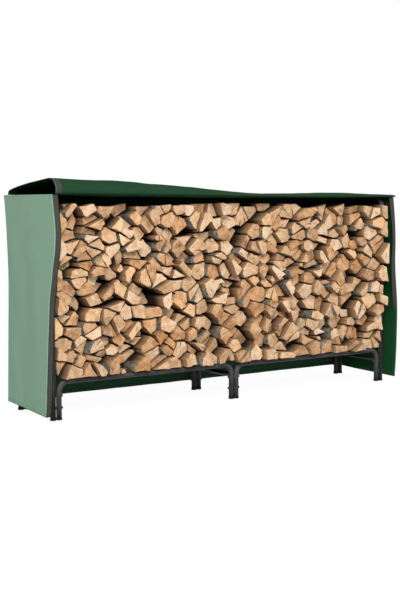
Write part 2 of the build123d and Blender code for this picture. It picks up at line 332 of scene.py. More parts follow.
bm = bmesh.new()
for near, far in leg_pairs:
    for y in (-leg_depth, leg_depth):
        for z in bolt_heights:
            left, right = near - tube_radius, far + tube_radius
            turned(bm, left - (washer_depth - washer_seat), y, z, washer_radius, washer_depth)
            turned(bm, left - nut_place, y, z, nut_radius, nut_depth, sides=6)
            turned(bm, left - thread_place, y, z, bolt_radius, thread_end)
            turned(bm, right - washer_seat, y, z, washer_radius, washer_depth)
            turned(bm, right + head_place, y, z, head_radius, head_depth, sides=6)
bmesh.ops.recalc_face_normals(bm, faces=bm.faces)
finish_piece("leg_bolts", bm, [bolt_zinc], smooth=False)


# Sides of the cover: woven polyester coated sage green outside and dark green inside, hung from the
# roof's edges. Nothing pulls them tight, so their front edges wander in and out and the cloth billows
# a little. Each has a doubled hem at the foot and rows of stitches beside its edges.
side_x = 1.230
roof_height = 1.187
cloth_thickness = 0.0010
hem_width, hem_thickness = 0.018, 0.0022
hem_share = 0.0155  # of a panel's length
hem_seam, top_seam = 0.0135, 0.993  # where a row of stitches runs across a panel, as shares of its length
over_hem, over_cloth = 0.0013, 0.0007  # how far stitches stand off the middle of the cloth
stitch_pitch, stitch_share = 0.0045, 0.66
thread_width = 0.0007


def along(stations, at):
    """A smooth line through (place, value) stations, read at one place."""
    i = max(1, min(len(stations) - 1, bisect([s[0] for s in stations], at)))
    (a, start), (b, end) = stations[i - 1], stations[i]

    def slope(k):
        before, after = stations[max(k - 1, 0)], stations[min(k + 1, len(stations) - 1)]
        return (after[1] - before[1]) / (after[0] - before[0])

    t, run = (at - a) / (b - a), b - a
    held = (1 + 2 * t) * (1 - t) ** 2 * start + t * t * (3 - 2 * t) * end
    return held + run * t * (1 - t) * ((1 - t) * slope(i - 1) - t * slope(i))


def tinted(nodes, links, colour, tint, factor, blend="MULTIPLY"):
    """A colour blended with a tint, as far as the factor says."""
    mix = nodes.new("ShaderNodeMix")
    mix.data_type = "RGBA"
    mix.blend_type = blend
    mix.inputs[7].default_value = (*tint, 1)
    links.new(factor, mix.inputs[0])
    links.new(colour, mix.inputs[6])
    return mix.outputs[2]


def cloth_finish(name, dark, mid, pale, gloss=0.3, painted_shade_fade=None):
    """Woven cloth with soft clouds of tone, and painted shade: a tint that fades in along the sheet, given as
    (from, to, tint).
    """
    finish, nodes, links, shader = new_finish(name)
    cloth = nodes.new("ShaderNodeUVMap")
    cloth.uv_map = "cut"
    clouds = speckle(nodes, links, cloth.outputs["UV"], 5, detail=4)
    threads_up = speckle(nodes, links, cloth.outputs["UV"], 1, detail=1, stretch=(420, 9, 1))
    threads_across = speckle(nodes, links, cloth.outputs["UV"], 1, detail=1, stretch=(9, 420, 1))
    threads = weighted(nodes, links, threads_up, 1.0, threads_across)
    shade = weighted(nodes, links, threads, 0.30, weighted(nodes, links, clouds, 0.4))
    colour = shades(nodes, links, shade, [(0.3, dark), (0.5, mid), (0.7, pale)])
    # Painted shade: a tint that darkens the cloth from one place along the sheet onwards.
    if painted_shade_fade:
        start, end, tint = painted_shade_fade
        down = nodes.new("ShaderNodeSeparateXYZ")
        links.new(cloth.outputs["UV"], down.inputs["Vector"])
        painted_shade_ramp = nodes.new("ShaderNodeMapRange")
        painted_shade_ramp.interpolation_type = "SMOOTHSTEP"
        painted_shade_ramp.inputs["From Min"].default_value = start
        painted_shade_ramp.inputs["From Max"].default_value = end
        links.new(down.outputs["Y"], painted_shade_ramp.inputs["Value"])
        colour = tinted(nodes, links, colour, tint, painted_shade_ramp.outputs["Result"])
    links.new(colour, shader.inputs["Base Color"])
    shader.inputs["Roughness"].default_value = 0.72
    shader.inputs["Specular IOR Level"].default_value = gloss
    weave = []
    for way in ("X", "Y"):
        yarn = nodes.new("ShaderNodeTexWave")
        yarn.bands_direction = way
        yarn.inputs["Scale"].default_value = 260
        yarn.inputs["Distortion"].default_value = 0.4
        links.new(cloth.outputs["UV"], yarn.inputs["Vector"])
        weave.append(yarn.outputs["Fac"])
    relief(nodes, links, weighted(nodes, links, weave[0], 1.0, weave[1]), shader, 0.5, 0.0003)
    return finish


sage_outside = cloth_finish("sage_cloth", (0.205, 0.350, 0.243), (0.228, 0.380, 0.265), (0.250, 0.408, 0.290))
green_inside_and_fold_shade = cloth_finish(
    "dark_green_cloth", (0.002, 0.028, 0.007), (0.004, 0.038, 0.011), (0.007, 0.048, 0.016), gloss=0.08
)


def cut_cloth(
    name, columns, rows, width, length, shape, finishes, thickness=cloth_thickness, finish_at=None
):
    """A sheet shaped from a flat cut: shape(s, t) gives the place of each share of its width and length."""
    bm = bmesh.new()
    bmesh.ops.create_grid(bm, x_segments=columns, y_segments=rows, size=0.5)
    cut = bm.loops.layers.uv.new("cut")
    for face in bm.faces:
        for loop in face.loops:
            s, t = loop.vert.co.x + 0.5, loop.vert.co.y + 0.5
            loop[cut].uv = (s * width, t * length)
        if finish_at:
            middle = face.calc_center_median()
            face.material_index = finish_at(middle.x + 0.5, middle.y + 0.5)
    for v in bm.verts:
        v.co = Vector(shape(v.co.x + 0.5, v.co.y + 0.5))
    piece = finish_piece(name, bm, finishes)
    wall = piece.modifiers.new("cloth_thickness", "SOLIDIFY")
    wall.thickness = thickness
    wall.offset = 0
    wall.use_even_offset = True
    wall.material_offset = 1
    wall.material_offset_rim = 0
    return piece


def hanging_panel(name, columns, rows, width, length, hem_length, shape, finishes):
    """A sheet that hangs from the roof's edge, and the doubled hem at its foot."""
    cloth = cut_cloth(f"cover_{name}", columns, rows, width, length, shape, finishes)
    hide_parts(f"cover_{name}")
    hem = cut_cloth(
        f"{name}_hem", columns, 2, hem_length, hem_width, lambda s, t: shape(s, hem_share * t), finishes,
        thickness=hem_thickness,
    )
    return cloth, hem


thread, nodes, links, shader = new_finish("green_thread")
surface = nodes.new("ShaderNodeTexCoord").outputs["Object"]
twist = speckle(nodes, links, surface, 900, detail=2)
links.new(
    shades(nodes, links, twist, [(0.35, (0.008, 0.030, 0.013)), (0.65, (0.018, 0.056, 0.026))]),
    shader.inputs["Base Color"],
)
shader.inputs["Roughness"].default_value = 0.8
relief(nodes, links, twist, shader, 0.4, 0.0003)


def stitched(name, rows):
    """Rows of stitches on both faces, each row as (place for a share of it, length, way off the cloth)."""
    bm = bmesh.new()
    for line, length, way in rows:
        count = int(length / stitch_pitch)
        for number in range(count):
            start, end = Vector(line(number / count)), Vector(line((number + stitch_share) / count))
            lie = (end - start).to_track_quat("X", "Z").to_matrix().to_4x4()
            size = Matrix.Diagonal(((end - start).length, thread_width, thread_width, 1))
            for side in (1, -1):
                middle = Matrix.Translation((start + end) / 2 + side * Vector(way))
                bmesh.ops.create_cube(bm, size=1, matrix=middle @ lie @ size)
    return finish_piece(name, bm, [thread], smooth=False)


def billow(y, z, seed, amount):
    """Soft folds that run mostly up and down a hanging sheet, with finer ones in them."""
    broad = noise.noise(Vector((y * 5, z * 1.6, seed)))
    fine = noise.noise(Vector((y * 16, z * 4, seed + 9)))
    return amount * broad + 0.3 * amount * fine


# Each of these lines is a list of (height, place) stations, read by along().
left_front_edge = [
    (0.022, -0.202), (0.198, -0.219), (0.330, -0.230), (0.488, -0.243), (0.641, -0.258), (0.734, -0.280),
    (0.824, -0.301), (0.890, -0.321), (0.972, -0.330), (1.026, -0.328), (1.097, -0.316), (1.187, -0.299),
]
rear_edge = [
    (0.024, 0.265), (0.431, 0.254), (0.721, 0.244), (0.887, 0.248), (1.003, 0.257), (1.106, 0.271),
    (1.187, 0.286),
]
corner_left, corner_right = 0.012, 0.045
crowding = 1.6  # how far the mesh's columns crowd towards a side's rounded rear corner


def round_corner(y, rear, radius):
    """How far a side has turned in where it meets the back."""
    over = max(0.0, y - (rear - radius))
    return radius - math.sqrt(max(0.0, radius * radius - over * over))


def left_side(s, t):
    """A place on the left side, from its front edge to the rear and from its hem up."""
    s = 1 - (1 - s) ** crowding
    hem = 0.022 + 0.023 * s
    z = hem + t * (roof_height - hem)
    front, rear = along(left_front_edge, z), along(rear_edge, z)
    y = front + s * (rear - front)
    free = min(1, 4 * (1 - t)) * min(1, 3 * s + 0.25)
    x = -side_x + round_corner(y, rear, corner_left) + billow(y, z, seed=3.1, amount=0.006) * free
    return x, y, z


left_cloth, left_hem = hanging_panel(
    "left_side", 44, 70, 0.56, 1.16, 0.50, left_side, [green_inside_and_fold_shade, sage_outside]
)
left_stitches = stitched("left_side_stitches", [
    (lambda u: left_side(u, hem_seam), 0.50, (over_hem, 0, 0)),
    (lambda u: left_side(u, top_seam), 0.58, (over_cloth, 0, 0)),
    (lambda u: left_side(0.02, u), 1.16, (over_cloth, 0, 0)),
    (lambda u: left_side(0.90, u), 1.14, (over_cloth, 0, 0)),
])

right_front_edge = [
    (0.025, -0.2645), (0.133, -0.2685), (0.263, -0.2705), (0.426, -0.2715), (0.526, -0.2700),
    (0.700, -0.2615), (0.794, -0.2590), (0.888, -0.2595), (0.982, -0.2575), (1.076, -0.2535),
    (1.187, -0.2465),
]
right_bulge = [
    (0.025, 0.0145), (0.133, 0.0185), (0.263, 0.0205), (0.426, 0.0215), (0.526, 0.0200), (0.700, 0.0115),
    (0.794, 0.0090), (0.888, 0.0095), (0.982, 0.0075), (1.076, 0.0035), (1.187, -0.0035),
]


def right_side(s, t):
    """A place on the right side, which bulges out over the upright low down."""
    s = 1 - (1 - s) ** crowding
    hem = 0.030 + 0.018 * s
    z = hem + t * (roof_height - hem)
    front, rear = along(right_front_edge, z), along(rear_edge, z)
    y = front + s * (rear - front)
    bulge = along(right_bulge, z) * (1 - s) ** 1.3
    free = min(1, 4 * (1 - t)) * min(1, 3 * s)
    folds = billow(y, z, seed=7.7, amount=0.008) * free
    return side_x + bulge - round_corner(y, rear, corner_right) + folds, y, z


# Painted light and shade: the right side's inside is a lighter copy of the dark green inside cloth, and it
# darkens from 0.30 m to 0.75 m up towards the roof.
right_inside_painted_light_and_shade = cloth_finish(
    "right_green_cloth_painted_light_and_shade", (0.004, 0.046, 0.011), (0.007, 0.060, 0.017), (0.012, 0.076, 0.025), gloss=0.08,
    painted_shade_fade=(0.30, 0.75, (0.60, 0.66, 0.64)),
)
right_cloth, right_hem = hanging_panel(
    "right_side", 44, 70, 0.54, 1.15, 0.54, right_side, [sage_outside, right_inside_painted_light_and_shade]
)
right_stitches = stitched("right_side_stitches", [
    (lambda u: right_side(u, hem_seam), 0.54, (over_hem, 0, 0)),
    (lambda u: right_side(u, top_seam), 0.55, (over_cloth, 0, 0)),
    (lambda u: right_side(0.02, u), 1.15, (over_cloth, 0, 0)),
    (lambda u: right_side(0.80, u), 1.14, (over_cloth, 0, 0)),
])


# Back of the cover: one sheet of the same cloth, green side in, sewn to both sides at round corners.
# It hangs free behind the pile, and its hem stops 50 mm above the ground.
hem_height = 0.050


def back(s, t):
    """A place on the back, from its left corner to the right and from its hem up."""
    z = hem_height + t * (roof_height - hem_height)
    rear = along(rear_edge, z)
    left, right = -side_x + corner_left, side_x - corner_right
    free = min(1, 4 * (1 - t)) * min(1, 12 * s) * min(1, 12 * (1 - s))
    x = left + s * (right - left)
    return x, rear + billow(x, z, seed=1.3, amount=0.009) * free, z


# Painted light: the back's inside is coloured as a lighter copy of the dark green inside cloth, to brighten
# it where the pile and the sides shade it.
back_inside_painted_light = cloth_finish(
    "back_green_cloth_painted_light", (0.024, 0.078, 0.036), (0.031, 0.092, 0.046), (0.039, 0.106, 0.056), gloss=0.10
)
back_cloth, back_hem = hanging_panel("back", 120, 40, 2.40, 1.14, 2.40, back, [back_inside_painted_light, sage_outside])
back_stitches = stitched("back_stitches", [
    (lambda u: back(u, hem_seam), 2.40, (0, over_hem, 0)),
    (lambda u: back(u, top_seam), 2.40, (0, over_cloth, 0)),
])


# Roof of the cover: the top sheet, which lies over both end frames and sags a little between them.
# The front flap is thrown back over it, so only its dark underside and its edges show.
roof_sag = 0.007
edge_pull, edge_pull_share = 0.0035, 0.12  # the taut front edge rises this much, over this share of the depth
roof_front, front_slant = -0.288, 0.040
roof_rear = 0.285
roof_slack = 0.003


def roof_line(x):
    """The roof's height, which sags between the end frames."""
    return roof_height - roof_sag * (1 - (x / side_x) ** 2)


def taut_edge(x, t):
    """How much higher the cloth lies at and just behind its front edge."""
    return edge_pull * (1 - (x / side_x) ** 2) * max(0, 1 - t / edge_pull_share)


def front_line(x):
    """The roof's front edge, which lies further back towards the right."""
    return roof_front + front_slant * (x + side_x) / (2 * side_x)


def roof(s, t):
    """A place on the roof, from its left edge to the right and from its front edge back."""
    x = -side_x + 2 * side_x * s
    y = front_line(x) + t * (roof_rear - front_line(x))
    slack = min(1, 8 * s) * min(1, 8 * (1 - s)) * min(1, 6 * t) * min(1, 6 * (1 - t))
    sunk = roof_slack * slack * (1 + noise.noise(Vector((x * 3, y * 6, 5.5))))
    return x, y, roof_line(x) + taut_edge(x, t) - sunk


# Painted shade: the roof's upper face, which is the cloth's outside, takes the dark inside green too, so that
# the fold's opening at the left end looks shaded.
piece = cut_cloth("cover_roof", 110, 26, 2.46, 0.57, roof, [green_inside_and_fold_shade, green_inside_and_fold_shade])
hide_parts("cover_roof")


# Front flap: the door of the cover, unzipped and thrown back over the roof, so that its dark inner face
# is uppermost. It stands up in a soft roll at the left end and lies nearly flat towards the right.
flap_crest = [
    (-1.245, 0.083), (-1.02, 0.080), (-0.90, 0.079), (-0.715, 0.074), (-0.52, 0.064), (-0.32, 0.051),
    (-0.11, 0.035), (0.10, 0.022), (0.33, 0.020), (0.56, 0.023), (0.81, 0.026), (1.06, 0.021),
    (1.245, 0.013),
]
flap_roll = [  # a share of the cloth's length, then its share of the depth and of the crest's height
    (0.00, (0.000, 0.02)), (0.05, (-0.014, 0.26)), (0.10, (-0.010, 0.42)), (0.16, (0.008, 0.62)),
    (0.22, (0.028, 0.78)), (0.28, (0.060, 0.92)), (0.33, (0.098, 0.985)), (0.38, (0.140, 1.00)),
    (0.50, (0.310, 0.93)), (0.62, (0.520, 0.78)), (0.74, (0.735, 0.59)), (0.84, (0.865, 0.46)),
    (0.91, (0.955, 0.33)), (0.96, (0.985, 0.21)), (1.00, (1.000, 0.02)),
]
roll_depths = [(place, share[0]) for place, share in flap_roll]
roll_heights = [(place, share[1]) for place, share in flap_roll]
flap_rear = 0.275
flap_rest = 0.0014  # the flap's middle above the roof's
lap_forward, lap_down = 0.0015, 0.0028  # where the flap's fold laps over the roof's edge, at the right


def flap(s, t):
    """A place on the flap, from its left edge to the right and from its front fold back over the roof."""
    x = -side_x + 0.022 + (2 * side_x - 0.010) * s
    front = front_line(x)
    y = front + along(roll_depths, t) * (flap_rear - front)
    rumple = 0.006 * noise.noise(Vector((x * 3.5, t * 5, 2.2)))
    rumple += 0.002 * noise.noise(Vector((x * 11, t * 9, 8.2)))
    crest = along(flap_crest, x) + rumple * math.sin(math.pi * t)
    z = roof_line(x) + taut_edge(x, t) + flap_rest + along(roll_heights, t) * crest
    lap = max(0, 1 - t / 0.03) * max(0, min(1, (x + 0.1) / 0.5))
    return x, y - lap_forward * lap, z - lap_down * lap


tape_share = 0.032 / (2 * side_x)
edge_share = 0.008 / (2 * side_x)
# Painted sheen and shade: the flap's upper face is a greyer, lighter copy of the inside green near its front
# fold, and turns deeper and darker green from 0.10 m to 0.24 m back towards the crest.
flap_top_sheen_and_shade = cloth_finish(
    "green_cloth_top_painted_sheen_and_shade", (0.011, 0.038, 0.016), (0.014, 0.045, 0.021), (0.018, 0.052, 0.026), gloss=0.04,
    painted_shade_fade=(0.10, 0.24, (0.35, 0.95, 0.62)),
)


def flap_cloth(s, t):
    """A place on the flap's own cloth, between the tapes and bound edges at its two ends."""
    return flap(edge_share + tape_share + s * (1 - 2 * edge_share - 2 * tape_share), t)


# Painted shade: the flap's underside, which is the cloth's outside, takes the dark inside green, so that the
# fold's opening looks shaded.
flap_sheet = cut_cloth("cover_front_flap", 150, 46, 2.40, 0.66, flap_cloth, [flap_top_sheen_and_shade, green_inside_and_fold_shade])
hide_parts("cover_front_flap", "cover_front_flap_middle", "cover_front_flap_right")


# Edge tapes: woven grey tape about 30 mm wide that binds each edge of the opening, sewn down with green
# thread. On the left side it turns square in across the opening; on the right it twists edge-on low
# down. The flap's ends have a narrow green bound edge outside the tape.
edge_green = cloth_finish(
    "green_bound_edge", (0.035, 0.100, 0.050), (0.045, 0.120, 0.062), (0.055, 0.140, 0.075), gloss=0.1
)
grey_tape = cloth_finish(
    "grey_edge_tape", (0.038, 0.035, 0.032), (0.047, 0.044, 0.040), (0.058, 0.054, 0.050), gloss=0.1
)
left_tape_width, right_tape_width = 0.034, 0.028


def left_tape(s, t):
    """A place on the left tape, whose inner quarter turns back a little."""
    z = 0.022 + t * (roof_height - 0.024)
    x = -side_x + 0.0005 + left_tape_width * s
    return x, along(left_front_edge, z) - 0.0008 + 0.032 * max(0, s - 0.76), z


piece = cut_cloth(
    "left_zip_tape", 9, 80, left_tape_width, 1.17, left_tape, [grey_tape, green_inside_and_fold_shade, green_inside_and_fold_shade],
    finish_at=lambda s, t: 1 if s > 0.77 else 0,
)
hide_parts("left_zip_tape")

right_twist = [  # (height, degrees that the tape is turned from square across the opening)
    (0.025, 134), (0.263, 131), (0.380, 118), (0.427, 100), (0.526, 45), (0.700, 23), (0.794, 10),
    (0.888, -4), (0.982, -4), (1.076, 12), (1.187, 27),
]


def right_tape(s, t):
    """A place on the right tape, turned about the side's front edge."""
    z = 0.030 + t * (roof_height - 0.034)
    turn = math.radians(along(right_twist, z))
    x = side_x + along(right_bulge, z) + 0.002 - right_tape_width * s * math.cos(turn)
    return x, along(right_front_edge, z) - 0.001 + right_tape_width * s * math.sin(turn), z


piece = cut_cloth(
    "right_zip_tape", 8, 80, right_tape_width, 1.16, right_tape, [edge_green, grey_tape, grey_tape],
    finish_at=lambda s, t: 0 if s < 0.13 else 1,
)
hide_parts("right_zip_tape")

for side, start in (("left", edge_share), ("right", 1 - edge_share - tape_share)):
    # Painted shade: the undersides of the flap's tapes and bound edges take the dark inside green too.
    piece = cut_cloth(
        f"flap_{side}_tape", 6, 46, 0.026, 0.66, lambda s, t: flap(start + tape_share * s, t),
        [grey_tape, green_inside_and_fold_shade],
    )
    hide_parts(f"flap_{side}_tape")
    outside = 0.0 if side == "left" else 1 - edge_share
    piece = cut_cloth(
        f"flap_{side}_edge", 2, 46, 0.004, 0.66, lambda s, t: flap(outside + edge_share * s, t),
        [edge_green, green_inside_and_fold_shade],
    )
outer_seam, inner_seam = edge_share + 0.15 * tape_share, edge_share + 0.85 * tape_share
stitched("flap_stitches", [
    (lambda u: flap(u, 0.045), 2.44, (0, -0.0005, 0.0005)),
    (lambda u: flap(outer_seam, u), 0.64, (0, 0, over_cloth)),
    (lambda u: flap(inner_seam, u), 0.64, (0, 0, over_cloth)),
    (lambda u: flap(1 - outer_seam, u), 0.54, (0, 0, over_cloth)),
    (lambda u: flap(1 - inner_seam, u), 0.54, (0, 0, over_cloth)),
])


# Logs: hardwood rounds split with a maul, each stacked with its sawn end to the front. A log is drawn
# forward from its rear end: uneven sides along the grain, some still in bark, then a sawn face with a
# broken rim. The logs lie loose on each other and on the rails.
end_grain, nodes, links, shader = new_finish("sawn_end_grain")
heart = nodes.new("ShaderNodeUVMap")
heart.uv_map = "grain"
tone = nodes.new("ShaderNodeAttribute")
tone.attribute_name = "log_tone"
tones = nodes.new("ShaderNodeSeparateColor")
links.new(tone.outputs["Color"], tones.inputs["Color"])
surface = nodes.new("ShaderNodeTexCoord").outputs["Object"]
ring_place = nodes.new("ShaderNodeVectorMath")
ring_place.operation = "LENGTH"
links.new(heart.outputs["UV"], ring_place.inputs[0])
wander = weighted(nodes, links, speckle(nodes, links, surface, 28, detail=2), 9)
rings = nodes.new("ShaderNodeMath")
rings.operation = "SINE"
links.new(weighted(nodes, links, ring_place.outputs["Value"], 1300, wander), rings.inputs[0])
angle = nodes.new("ShaderNodeTexGradient")
angle.gradient_type = "RADIAL"
links.new(heart.outputs["UV"], angle.inputs["Vector"])
polar = nodes.new("ShaderNodeCombineXYZ")
links.new(angle.outputs["Fac"], polar.inputs["X"])
links.new(weighted(nodes, links, ring_place.outputs["Value"], 0.14), polar.inputs["Y"])
links.new(tones.outputs["Green"], polar.inputs["Z"])
rays = speckle(nodes, links, polar.outputs["Vector"], 1, detail=4, stretch=(75, 90, 60), roughness=0.7)
blotch = speckle(nodes, links, surface, 24, detail=6, roughness=0.65)
mixed = weighted(nodes, links, rings.outputs[0], 0.030, blotch)
mixed = weighted(nodes, links, rays, 0.45, mixed)
mixed = weighted(nodes, links, speckle(nodes, links, surface, 210, detail=3), 0.20, mixed)
mixed = weighted(nodes, links, tones.outputs["Red"], 0.36, mixed)
wood_colour = shades(
    nodes, links, weighted(nodes, links, mixed, 1.0, -0.20),
    [
        (0.40, (0.135, 0.062, 0.026)), (0.56, (0.330, 0.180, 0.086)), (0.70, (0.480, 0.290, 0.155)),
        (0.84, (0.580, 0.380, 0.222)), (0.98, (0.690, 0.500, 0.330)),
    ],
)
warmth = weighted(nodes, links, tones.outputs["Blue"], 1.6, -0.75)
wood_colour = tinted(nodes, links, wood_colour, (1.0, 0.80, 0.58), warmth)
cracks = speckle(nodes, links, polar.outputs["Vector"], 1, detail=1, stretch=(90, 100, 57))
crack_lines = nodes.new("ShaderNodeMapRange")
crack_lines.inputs["From Min"].default_value = 0.66
crack_lines.inputs["From Max"].default_value = 0.72
links.new(cracks, crack_lines.inputs["Value"])
cracked = tinted(nodes, links, wood_colour, (0.10, 0.045, 0.020), crack_lines.outputs["Result"], blend="MIX")
links.new(cracked, shader.inputs["Base Color"])
shader.inputs["Roughness"].default_value = 0.82
shader.inputs["Specular IOR Level"].default_value = 0.25
saw_marks = speckle(nodes, links, surface, 110, detail=5, stretch=(1, 1, 0.35), roughness=0.7)
relief(nodes, links, weighted(nodes, links, rays, 0.8, saw_marks), shader, 0.8, 0.004)


def deep_shade(nodes, links, grain, colour, shader, reach=0.10):
    """Painted shade: sides grow dull and dark with their depth behind the sawn face, where shade falls
    between the logs.
    """
    depth = nodes.new("ShaderNodeSeparateXYZ")
    links.new(grain.outputs["UV"], depth.inputs["Vector"])
    painted_shade_fade = nodes.new("ShaderNodeMapRange")
    painted_shade_fade.interpolation_type = "SMOOTHSTEP"
    painted_shade_fade.inputs["From Min"].default_value = -0.01
    painted_shade_fade.inputs["From Max"].default_value = reach
    painted_shade_fade.inputs["To Min"].default_value = 1.0
    painted_shade_fade.inputs["To Max"].default_value = 0.06
    links.new(depth.outputs["X"], painted_shade_fade.inputs["Value"])
    darker = nodes.new("ShaderNodeVectorMath")
    darker.operation = "SCALE"
    links.new(colour, darker.inputs[0])
    links.new(painted_shade_fade.outputs["Result"], darker.inputs["Scale"])
    links.new(darker.outputs["Vector"], shader.inputs["Base Color"])


split_wood, nodes, links, shader = new_finish("split_wood")
grain = nodes.new("ShaderNodeUVMap")
grain.uv_map = "grain"
tone = nodes.new("ShaderNodeAttribute")
tone.attribute_name = "log_tone"
tones = nodes.new("ShaderNodeSeparateColor")
links.new(tone.outputs["Color"], tones.inputs["Color"])
fibres = speckle(nodes, links, grain.outputs["UV"], 1, detail=4, stretch=(7, 260, 1), roughness=0.6)
patches = speckle(nodes, links, grain.outputs["UV"], 1, detail=3, stretch=(12, 34, 1))
mixed = weighted(nodes, links, tones.outputs["Red"], 0.34, weighted(nodes, links, fibres, 1.0, patches))
# Painted shade, in part: the split sides are coloured darker than the sawn ends, to stand for the shade on
# the logs' flanks.
wood_colour = shades(
    nodes, links, mixed,
    [(0.72, (0.150, 0.072, 0.031)), (0.90, (0.300, 0.165, 0.080)), (1.0, (0.430, 0.258, 0.135))],
)
# Painted shade: the split sides darken with their depth behind the sawn face.
deep_shade(nodes, links, grain, wood_colour, shader)
shader.inputs["Roughness"].default_value = 0.78
shader.inputs["Specular IOR Level"].default_value = 0.2
relief(nodes, links, fibres, shader, 0.8, 0.004)

bark, nodes, links, shader = new_finish("grey_bark")
grain = nodes.new("ShaderNodeUVMap")
grain.uv_map = "grain"
surface = nodes.new("ShaderNodeTexCoord").outputs["Object"]
lichen = speckle(nodes, links, surface, 45, detail=6, roughness=0.72)
moss = speckle(nodes, links, surface, 9, detail=3)
furrows = nodes.new("ShaderNodeTexVoronoi")
furrows.feature = "DISTANCE_TO_EDGE"
furrows.inputs["Scale"].default_value = 1
furrow_place = nodes.new("ShaderNodeMapping")
furrow_place.inputs["Scale"].default_value = (35, 130, 1)
links.new(grain.outputs["UV"], furrow_place.inputs["Vector"])
links.new(furrow_place.outputs["Vector"], furrows.inputs["Vector"])
grey = shades(
    nodes, links, lichen,
    [
        (0.34, (0.075, 0.064, 0.054)), (0.47, (0.210, 0.190, 0.168)), (0.57, (0.350, 0.326, 0.292)),
        (0.70, (0.560, 0.532, 0.500)),
    ],
)
mossy = tinted(nodes, links, grey, (0.66, 0.70, 0.46), weighted(nodes, links, moss, 5.0, -2.3))
# Painted shade: the bark darkens with its depth behind the sawn face, over a longer reach.
deep_shade(nodes, links, grain, mossy, shader, reach=0.17)
shader.inputs["Roughness"].default_value = 0.9
shader.inputs["Specular IOR Level"].default_value = 0.2
relief(nodes, links, furrows.outputs["Distance"], shader, 0.9, 0.006)

courses = 13
log_turn = 0.08  # how far a log is rolled from its neighbours' fit, in radians
face_tilt = 0.2  # how far a saw cut runs off square
corner_rounding = (0.003, 0.008)
rim_width, rim_depth = 0.0026, 0.0014
flank_bark_share = 0.28  # of the logs without a round side, those with bark on one flank
chance = random.Random(7)


def connected(face, seen):
    """All the faces of the log that a face belongs to."""
    found, waiting = [], [face]
    seen.add(face)
    while waiting:
        here = waiting.pop()
        found.append(here)
        for edge in here.edges:
            for other in edge.link_faces:
                if other not in seen:
                    seen.add(other)
                    waiting.append(other)
    return found


def sawn_outlines(node):
    """The outline of each log's front end, and its length, read from the course's node."""
    copy = bmesh.new()
    copy.from_mesh(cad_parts[node].data)
    bmesh.ops.remove_doubles(copy, verts=copy.verts, dist=2e-5)
    bmesh.ops.dissolve_limit(copy, angle_limit=math.radians(0.6), verts=copy.verts, edges=copy.edges)
    ends, seen = [], set()
    for face in list(copy.faces):
        if face in seen:
            continue
        log = connected(face, seen)
        front = min(log, key=lambda f: f.calc_center_median().y)
        rear = max(log, key=lambda f: f.calc_center_median().y)
        outline = [v.co.copy() for v in front.verts]
        if front.normal.y > 0:
            outline.reverse()
        ends.append((outline, rear.calc_center_median().y - front.calc_center_median().y))
    copy.free()
    return ends


def bark_corner(outline):
    """The middle of a log's round side, where three corners in a row hardly turn, or None."""
    count = len(outline)
    turns = []
    for i in range(count):
        before, after = outline[i] - outline[i - 1], outline[(i + 1) % count] - outline[i]
        turns.append(math.degrees(before.angle(after)))
    sums = [turns[i - 1] + turns[i] + turns[(i + 1) % count] for i in range(count)]
    return sums.index(min(sums)) if min(sums) < 100 else None


def drawn(bm, face, place):
    """Pull a face out into a new one, each of its corners to the place that is given for it."""
    made = bmesh.ops.extrude_face_region(bm, geom=[face])["geom"]
    for v in [g for g in made if isinstance(g, bmesh.types.BMVert)]:
        v.co = place(v.co)
    return [g for g in made if isinstance(g, bmesh.types.BMFace)][0]


def bearing(p, centre):
    """The angle at which a place lies round a log's middle, seen from the front."""
    return math.atan2(p.z - centre.z, p.x - centre.x)


def set_back(centre):
    """How far a log stands back in the pile. The upper ones at the right end and the lowest stand out."""
    recess = chance.choice(
        (0, chance.uniform(0, 0.02), chance.uniform(0.01, 0.05), chance.uniform(0.04, 0.10))
    )
    near_end = max(0, min(1, (centre.x - 0.98) / 0.12))
    high = max(0, min(1, (centre.z - 0.24) / 0.34))
    recess = recess * (1 - 0.8 * near_end) + near_end * (0.018 - 0.064 * high)
    if centre.z < 0.27 and centre.x < 1.0:
        recess = -0.030 - 0.3 * recess
    return recess


